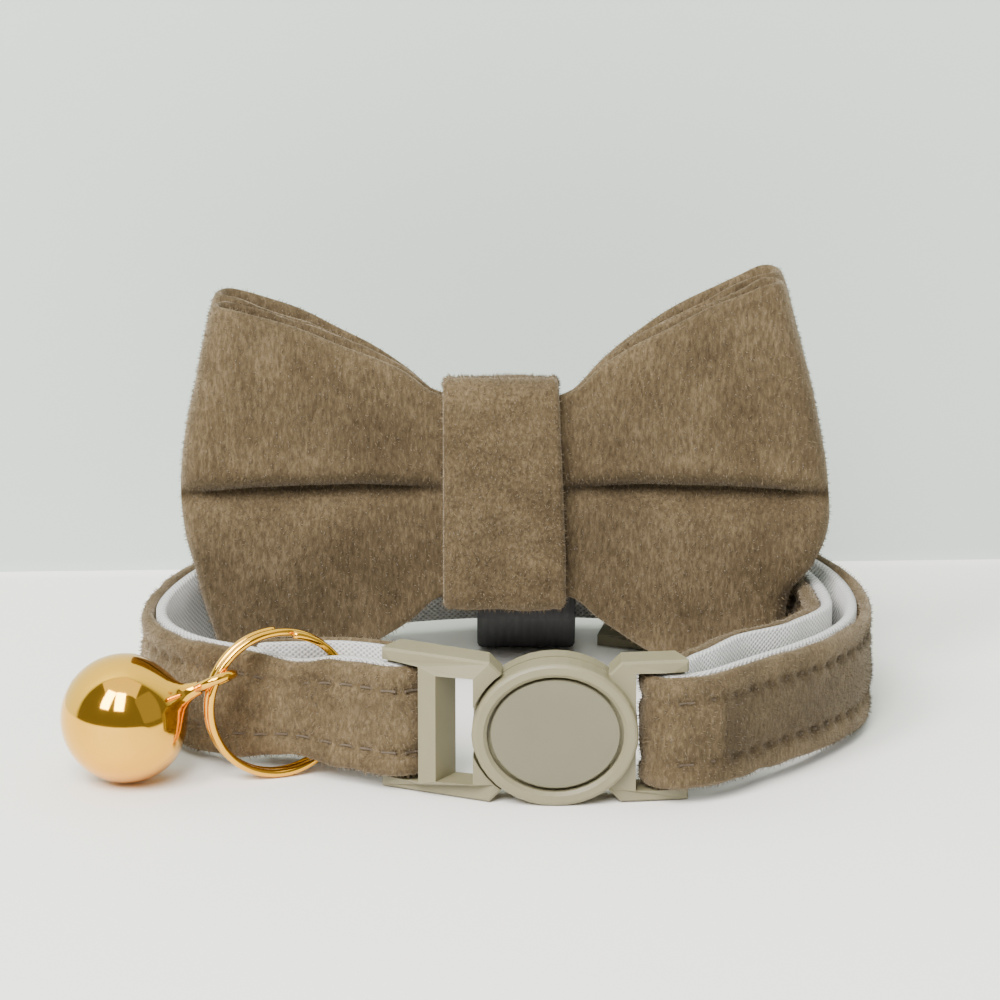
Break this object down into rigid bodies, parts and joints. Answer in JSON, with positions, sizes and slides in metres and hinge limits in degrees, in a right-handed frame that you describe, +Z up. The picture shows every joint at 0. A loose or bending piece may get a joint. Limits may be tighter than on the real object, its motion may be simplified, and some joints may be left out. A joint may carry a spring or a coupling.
{
  "type": "pet bow tie collar",
  "caption": "Small velvet pet collar standing as a closed loop, with a breakaway buckle, an oval face plate, a jingle bell on a split ring and a velvet bow held on by elastic.",
  "frame": {"origin": "middle of the base of the collar's bounding box", "axes": "+X to the right as the buckle is looked at, +Y from the buckle to the back of the loop, +Z up across the strap"},
  "size_m": [0.0708, 0.0564, 0.0384],
  "materials": {
    "velvet": "short taupe pile",
    "webbing": "plain pale grey weave",
    "buckle_plastic": "satin warm grey",
    "badge": "satin grey",
    "gold_metal": "polished gold colour",
    "elastic": "black ribbed elastic"
  },
  "bodies": {
    "root": {"velvet_strap": "velvet", "webbing_strap": "webbing", "buckle_left": "buckle_plastic", "buckle_right": "buckle_plastic", "badge_plate": "badge", "slider": "buckle_plastic", "split_ring": "gold_metal", "bell": "gold_metal", "bow_front_loop": "velvet", "bow_rear_loop": "velvet", "bow_center_band": "velvet", "elastic_loop": "elastic"}
  },
  "joints": []
}
